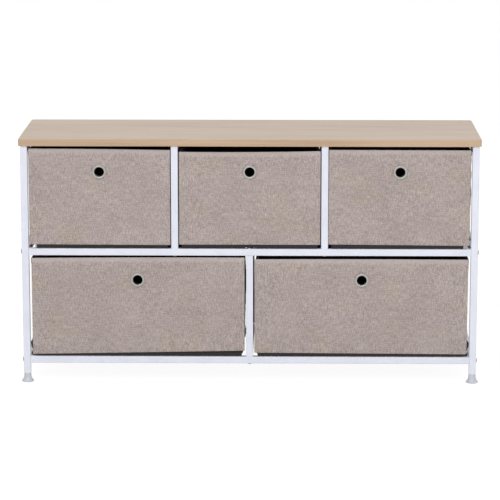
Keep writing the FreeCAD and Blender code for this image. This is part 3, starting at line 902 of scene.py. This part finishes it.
def trimShell(shell, body, low, high):
    # Keeps the front wall under the linen's top edge and turns up the front corners.
    for vert in shell.data.vertices:
        if vert.co.y < low.y + mm:
            across = (vert.co.x - low.x) / (high.x - low.x)
            up = max(0, (vert.co.z - low.z) / (high.z - low.z))
            vert.co.z += min(0, headRise(body, across)) * up ** 10
        vert.co.z += cornerRise(body, vert.co, low, high)


weltValues = inMm(
    half=3.6, height=2.6, inset=11.0, ends=2, edge=1.2, short=40)


def makeWelt(name, x, low, high, short):
    # A padded runner sewn under the bin's lower side edge, short of the front by some length.
    v = weltValues
    welt = startFrom(bpy.ops.mesh.primitive_cylinder_add, name, vertices=16, radius=1, depth=1)
    start, end = low.y + v["ends"] + short, high.y - v["ends"]
    welt.scale = (v["half"], v["height"], end - start)
    place(welt, (x, (start + end) / 2, low.z + v["height"]), (90, 0, 0))
    startEditing(welt)
    pick(welt, "edges", lambda edge: not runsAlong(edge, 1))
    roundPicked(v["edge"])
    stopEditing()
    return welt


def makeHem(shell, name, low, high):
    # The folded band round the sides and back of the open top, taken from the shell itself.
    v = binShape
    hem = copyOf(shell, name)
    startEditing(hem)
    pick(hem, "faces", lambda face: face.calc_center_median().z < high.z - v["hem"]
         or face.calc_center_median().y < low.y + 2 * mm)
    bpy.ops.mesh.delete(type="FACE")
    stopEditing()
    applyModifier(hem, "SOLIDIFY", thickness=v["hemThickness"], offset=-0.45, use_even_offset=True)
    startEditing(hem)
    pick(hem, "edges", isSharp)
    roundPicked(v["hemEdge"])
    stopEditing()
    return hem


def seamRod(name, start, end, radius, seed):
    # A sewn seam's raised fold, slightly uneven along its length.
    run = end - start
    count = max(6, round(run.length / (7 * mm))) + 1
    swell = [1 + 0.22 * noise.noise(Vector((n * 0.9, seed, 0))) for n in range(count)]
    rod = ridgedRod(name, [radius * share for share in swell], run.length, 0.5, 8)
    rod.rotation_euler = run.to_track_quat("Z", "Y").to_euler()
    rod.location = start
    settle(rod)
    return rod


bindingValues = {"cuts": 60} | inMm(
    foot=0.9, head=8.6, front=3.4, back=0.2, edge=1.2, wave=0.35, ride=2.4, rideReach=9)

# How far the binding under the front stops short of the bin's side, left and right, in mm,
# or reaches past it where the number is negative.
bindingShort = {
    "upper_left_drawer": (13, 3),
    "upper_right_drawer": (3, 12),
    "lower_left_drawer": (-3.5, 3),
    "lower_right_drawer": (3, -3.5),
}


def bottomBinding(name, body, low, middle, half):
    # The black edge binding under the linen front, lifted where it rides over a bolt head.
    v = bindingValues
    left, right = [
        middle + side * (half - bindingShort.get(body, (3, 3))[side > 0] * mm) for side in (-1, 1)]
    foot, head = low.z + v["foot"], low.z + v["head"]
    strip = newBox(name, (left, low.y - v["front"], foot), (right, low.y + v["back"], head))
    startEditing(strip)
    pick(strip, "edges", lambda edge: runsAlong(edge, 0))
    roundPicked(v["edge"])
    cutEvenly((left, 0, 0), (right, 0, 0), (v["cuts"], 1, 1))
    stopEditing()
    overBolt = body == "upper_middle_drawer"
    for vert in strip.data.vertices:
        if vert.co.z < (foot + head) / 2:
            ride = math.exp(-(((vert.co.x - middle) / v["rideReach"]) ** 2)) if overBolt else 0
            wave = v["wave"] * noise.noise(Vector((vert.co.x * 30, low.z * 50, 0)))
            vert.co.z += v["ride"] * ride + wave
    return strip


stitchValues = inMm(
    length=3.1, thickness=0.75, pitch=4.3, rise=2.4, proud=0.95, unevenness=0.12)

binThread = threadFinish()


def hemLine(shell, low, high, middle):
    # The shell's own points at the hem's lower edge, from the left front round the back.
    level, halfway = high.z - binShape["hem"], (low.y + high.y) / 2
    points = [vert.co.copy() for vert in shell.data.vertices
              if abs(vert.co.z - level) < 0.05 * mm and vert.co.y > low.y + 4 * mm]
    return sorted(points, key=lambda point: math.atan2(point.x - middle, point.y - halfway))


def makeStitches(name, body, line):
    # A row of machine stitches that holds the hem, even in length and slightly uneven in lie.
    v = stitchValues
    half, thick = v["length"] / 2, v["thickness"] / 2
    first = turned(name, [
        (0, -half), (0.7 * thick, -0.85 * half), (thick, -0.4 * half),
        (thick, 0.4 * half), (0.7 * thick, 0.85 * half), (0, half),
    ], 6)
    row, spare = [], v["pitch"] / 2
    for start, end in zip(line, line[1:]):
        way = end - start
        ahead = way.normalized()
        outward = ahead.cross(Vector((0, 0, -1)))
        turn = ahead.to_track_quat("Z", "Y").to_matrix().to_4x4()
        while spare < way.length:
            lie = v["unevenness"] * noise.noise(Vector((len(row) * 0.8, start.x * 9, 0)))
            spot = start + ahead * spare + outward * v["proud"] + Vector((0, 0, v["rise"] + lie))
            stitch = copyOf(first, name)
            stitch.data.transform(Matrix.Translation(spot) @ turn)
            row.append(stitch)
            spare += v["pitch"]
        spare -= way.length
    bpy.data.objects.remove(first)
    finishPiece(joinAll(row, name), body, "bin_fabric", smoothAngle=40, mat=binThread)


def makeBins():
    v = binShape
    for seed, body in enumerate(drawers):
        name, node = partOf(body, "Bin"), partOf(body, "_bin")
        low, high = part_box(node)
        half, middle = (high.x - low.x) / 2 - v["side"], (low.x + high.x) / 2
        backY = high.y - v["side"]
        shell = binShell(name, low, high, middle, half, backY, middleOf(partOf(body, "_eyelet")))
        slacken(shell, low, high, middle, half, body, seed)
        most = rowSlack[body.split("_")[0]]["most"] * mm
        clothSettle(shell, low, high, middle, half, backY, most)
        trimShell(shell, body, low, high)
        hem = makeHem(shell, name + "Hem", low, high)
        makeStitches(name + "Stitches", body, hemLine(shell, low, high, middle))
        applyModifier(shell, "SOLIDIFY", thickness=v["wall"], offset=-1)
        pieces = [shell, hem]
        for side in (-1, 1):
            short = weltValues["short"] if turnedUp.get(body, (0, 0))[0] == side else 0
            x = middle + side * (half - weltValues["inset"])
            pieces.append(makeWelt(name + "Welt", x, low, high, short))
            for y in (low.y + 1.5 * mm, backY - 2.0 * mm):
                inset = 0.3 * mm - seamOut.get(body, (0, 0))[side > 0] * mm
                if y > 0:
                    inset = 1.6 * mm
                start = Vector((middle + side * (half - inset), y, low.z + v["seamFoot"]))
                end = Vector((start.x, y, high.z - v["hem"]))
                pieces.append(seamRod(name + "Seam", start, end, v["seam"], seed + side))
        pieces.append(bottomBinding(name + "Binding", body, low, middle, half))
        shell = joinAll(pieces, name)
        finishPiece(shell, body, "bin_fabric", [node], 50)


makeBins()
print("bins made")

# Linen folds and base boards inside the bins

insideValues = inMm(
    foldInset=4, foldGap=0.2, foldDepth=14, foldThickness=3.0, foldRise=0.6, foldEdge=1.1,
    foldWave=0.3, boardEdge=0.9, boardWarp=0.6)


def roundedSlab(name, low, high, edge, counts):
    slab = newBox(name, low, high)
    startEditing(slab)
    pickAll()
    roundPicked(edge)
    cutEvenly(low, high, counts)
    stopEditing()
    return slab


def makeFold(body, low, high, seed):
    # The linen turned over the front's top edge into the bin.
    v = insideValues
    start = Vector((low.x + v["foldInset"], low.y + v["foldGap"], high.z - v["foldDepth"]))
    end = Vector((
        high.x - v["foldInset"], low.y + v["foldGap"] + v["foldThickness"], high.z + v["foldRise"]))
    fold = roundedSlab(partOf(body, "Fold"), start, end, v["foldEdge"], (48, 1, 1))
    for vert in fold.data.vertices:
        across = (vert.co.x - start.x) / (end.x - start.x)
        if vert.co.z < high.z - v["foldDepth"] / 2:
            vert.co.y += v["foldWave"] * noise.noise(Vector((vert.co.x * 40, seed, 0)))
        vert.co.z += min(0, headRise(body, across))
    finishPiece(fold, body, "linen", smoothAngle=40)


def makeBaseBoard(body, low, high, seed):
    # The loose stiff board on the bin's floor, slightly warped.
    v, node = insideValues, partOf(body, "_base_board")
    board = roundedSlab(partOf(body, "BaseBoard"), *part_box(node), v["boardEdge"], (16, 12, 1))
    for vert in board.data.vertices:
        warp = noise.noise(Vector((vert.co.x * 6, vert.co.y * 6, seed)))
        vert.co.z += v["boardWarp"] * max(0, warp)
        vert.co.z += cornerRise(body, vert.co, low, high)
    finishPiece(board, body, "base_board", [node], 40)


for seed, body in enumerate(drawers):
    low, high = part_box(partOf(body, "_bin"))
    makeFold(body, low, high, seed)
    makeBaseBoard(body, low, high, seed)
print("folds and base boards made")

# Bolts and screws, in mm

fastenerKinds = {
    "bolt": {
        "head": 5.4, "dome": 2.5, "fullness": 2.8, "shank": 3.0, "length": 30, "pitch": 1.0,
        "cut": 0.32, "socket": 1.6, "socketDepth": 1.5, "sides": 6, "steps": 24,
    },
    "screw": {
        "head": 4.0, "dome": 2.2, "fullness": 2.2, "shank": 2.0, "length": 25, "pitch": 1.5,
        "cut": 0.45, "socket": 1.5, "socketDepth": 1.3, "sides": 4, "steps": 24,
    },
}


def fastenerProfile(v):
    # Socket floor, dome, flat underside, threaded shank and point, heights from the underside.
    full, head, shank, length = v["fullness"], v["head"], v["shank"], v["length"]

    def domeAt(radius):
        return v["dome"] * (1 - (radius / head) ** full) ** (1 / full)

    rim = v["socket"] + 0.35
    floor = domeAt(rim) - v["socketDepth"]
    points = [(0, floor), (v["socket"], floor), (v["socket"], domeAt(rim) - 0.12)]
    for radius in [rim + (head - 0.15 - rim) * n / 6 for n in range(7)]:
        points.append((radius, domeAt(radius)))
    points += [(head, 0.22), (head - 0.1, 0), (shank, 0)]
    points += threadTurns(shank, v["cut"], -1.5, 2 - length, -v["pitch"])
    points += [(shank * 0.75, 0.3 - length), (shank * 0.6, -length), (0, -length)]
    return [(radius * mm, height * mm) for radius, height in points]


def makeFastenerMaster(kind):
    # One fastener, whose round socket is pressed to six sides or to a cross.
    v = fastenerKinds[kind]
    master = turned(kind + "Master", fastenerProfile(v), v["steps"])
    reach, wedge = (v["socket"] + 0.01) * mm, math.pi / 6
    for vert in master.data.vertices:
        radius = math.hypot(vert.co.x, vert.co.y)
        if 0.5 * mm < radius < reach and vert.co.z > 0:
            turn = math.atan2(vert.co.y, vert.co.x)
            if v["sides"] == 6:
                scale = math.cos(wedge) / math.cos(turn % (math.pi / 3) - wedge)
            else:
                scale = 0.45 + 0.55 * abs(math.cos(2 * turn)) ** 3
            vert.co.x *= scale
            vert.co.y *= scale
    return master


def solidsOf(node):
    # The box of each separate solid in one CAD node, always in the same order.
    shape = bmesh.new()
    shape.from_mesh(frame["nodes"][node].data)
    bmesh.ops.remove_doubles(shape, verts=shape.verts, dist=1e-6)
    toWorld = frame["nodes"][node].matrix_world
    waiting, boxes = set(shape.verts), []
    while waiting:
        group = [waiting.pop()]
        for vert in group:
            for edge in vert.link_edges:
                other = edge.other_vert(vert)
                if other in waiting:
                    waiting.remove(other)
                    group.append(other)
        spots = [toWorld @ vert.co for vert in group]
        boxes.append([Vector([pickEnd(axis) for axis in zip(*spots)]) for pickEnd in (min, max)])
    shape.free()
    return sorted(boxes, key=lambda box: tuple(box[0]))


def makeFasteners(node, kind, name, headWay):
    # headWay(centre) gives the way that the head faces, as an axis.
    master = makeFastenerMaster(kind)
    pieces = []
    for low, high in solidsOf(node):
        centre = (low + high) / 2
        way = Vector(headWay(centre))
        reach = abs((high - low).dot(way)) / 2 - fastenerKinds[kind]["dome"] * mm
        piece = copyOf(master, name)
        spin = Matrix.Rotation(random.uniform(0, math.pi), 4, "Z")
        turn = way.to_track_quat("Z", "Y").to_matrix().to_4x4()
        piece.matrix_world = Matrix.Translation(centre + way * reach) @ turn @ spin
        settle(piece)
        pieces.append(piece)
    bpy.data.objects.remove(master)
    finishPiece(joinAll(pieces, name), "frame", kind, [node])


lowerRow = 0.17  # a level between the lower dividers' two ends
makeFasteners("frame_bolts", "bolt", "frameBolts", lambda c: (math.copysign(1, c.x), 0, 0))
makeFasteners("upper_divider_bolts", "bolt", "upperDividerBolts", lambda c: (0, 0, -1))
makeFasteners("lower_divider_bolts", "bolt", "lowerDividerBolts",
              lambda c: (0, 0, 1 if c.z > lowerRow else -1))
makeFasteners("board_screws", "screw", "boardScrews", lambda c: (0, 0, -1))
print("bolts and screws made")

# Weld beads

weldValues = {
    "radius": 1.45 * mm, "length": 13.5 * mm, "ripples": 11, "valley": 0.84, "boardLevel": 0.52,
    "railLevels": (0.27, 0.31),
}


def makeWelds():
    # A rippled bead in each corner between a welded cross rail and its upright, but none
    # against the board or where a divider's foot rail lies on the middle rails.
    v = weldValues
    radii = [v["radius"] * (1 if n % 2 else v["valley"]) for n in range(v["ripples"] * 2 + 1)]
    master = ridgedRod("weldMaster", radii, v["length"], 0.6, 10)
    place(master, (-v["length"] / 2, 0, 0), (0, 90, 0))
    beads = []
    for node in frame["nodes"]:
        if not node.endswith("_rail") or node.startswith(("front", "rear")):
            continue
        low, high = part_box(node)
        for y in (low.y, high.y):
            for z in [low.z] if high.z > v["boardLevel"] else [low.z, high.z]:
                if v["railLevels"][0] < z < v["railLevels"][1] and "divider" in node:
                    continue
                beads.append(place(copyOf(master, "weld"), ((low.x + high.x) / 2, y, z)))
    bpy.data.objects.remove(master)
    finishPiece(joinAll(beads, "weldBeads"), "frame", "frame_paint", smoothAngle=60)


makeWelds()
print("welds made")

# Floor, light and camera

stageValues = {
    "floorSize": 14.0,
    "floorColour": (0.90, 0.90, 0.90),
    "shadowShare": 0.16, "glow": 1.12,
    "skyColour": (1.0, 0.99, 0.985, 1),
    "skyStrength": 0.52,
}


def seenDirectly(mat):
    # 1 for rays that come straight, by reflection or through glass from the eye.
    rays = addNode(mat, "LightPath").outputs
    either = combine(mat, rays["Is Camera Ray"], rays["Is Glossy Ray"], "MAXIMUM")
    return combine(mat, either, rays["Is Transmission Ray"], "MAXIMUM")


def mixSurface(owner, output, share, first, second):
    # Wires a mix of two shading nodes to the output node of a material or world.
    sides = {0: share, 1: first.outputs[0], 2: second.outputs[0]}
    mix = addNode(owner, "MixShader", sides).outputs[0]
    owner.node_tree.links.new(mix, owner.node_tree.nodes[output].inputs["Surface"])


def makeFloor():
    v = stageValues
    floor = startFrom(bpy.ops.mesh.primitive_plane_add, "studioFloor", size=v["floorSize"])
    mat = newFinish("floorPaper", {"Roughness": 0.9, "Specular IOR Level": 0})
    cloud = noiseAt(mat, 0.004)
    colourFrom(mat, cloud, [(0.3, dimmed(v["floorColour"], 0.985)), (0.7, v["floorColour"])])
    paper = mat.node_tree.nodes["Principled BSDF"]
    glow = addNode(mat, "Emission", {"Color": (1, 1, 1, 1), "Strength": v["glow"]})
    share = combine(mat, seenDirectly(mat), 1 - v["shadowShare"], "MULTIPLY")
    mixSurface(mat, "Material Output", share, paper, glow)
    floor.data.materials.append(mat)


def makeSky():
    # Even light from all round, and plain white where it is seen itself.
    world = bpy.data.worlds.new("studio")
    bpy.context.scene.world = world
    world.use_nodes = True
    light = world.node_tree.nodes["Background"]
    light.inputs["Color"].default_value = stageValues["skyColour"]
    light.inputs["Strength"].default_value = stageValues["skyStrength"]
    white = addNode(world, "Background", {"Color": (1, 1, 1, 1)})
    mixSurface(world, "World Output", seenDirectly(world), light, white)


# Where each lamp stands, the height on the dresser's middle that it points at, its size and power.
lampValues = {
    "keySoftbox": {"spot": (-1.0, -3.6, 2.9), "aim": 0.3, "size": (3.2, 2.2), "power": 74},
    "fillSoftbox": {"spot": (2.4, -3.0, 1.4), "aim": 0.3, "size": (2.4, 2.0), "power": 22},
    "rearSoftbox": {"spot": (0.3, 3.4, 0.3), "aim": 0.28, "size": (3.0, 0.46), "power": 16},
}


def standAt(name, data, spot, turn):
    # Puts a lamp or a camera in the scene.
    thing = bpy.data.objects.new(name, data)
    bpy.context.scene.collection.objects.link(thing)
    thing.location, thing.rotation_euler = spot, turn
    return thing


def makeLamps():
    for name, v in lampValues.items():
        data = bpy.data.lights.new(name, "AREA")
        data.shape = "RECTANGLE"
        data.size, data.size_y = v["size"]
        data.energy = v["power"]
        way = Vector((0, 0, v["aim"])) - Vector(v["spot"])
        standAt(name, data, v["spot"], way.to_track_quat("-Z", "Y").to_euler())


cameraValues = {
    "spot": (0.0687, -5.249, 1.3197),
    "pitch": -0.19776, "yaw": 0.01329, "lens": 172.4, "sensor": 36, "farthest": 50,
}


def makeCamera():
    v = cameraValues
    data = bpy.data.cameras.new("camera")
    data.lens = v["lens"]
    data.sensor_width = v["sensor"]
    data.clip_end = v["farthest"]
    turn = (math.pi / 2 + v["pitch"], 0, v["yaw"])
    bpy.context.scene.camera = standAt("camera", data, v["spot"], turn)


makeFloor()
makeSky()
makeLamps()
makeCamera()
bpy.context.scene.view_settings.view_transform = "Standard"
print("stage set")
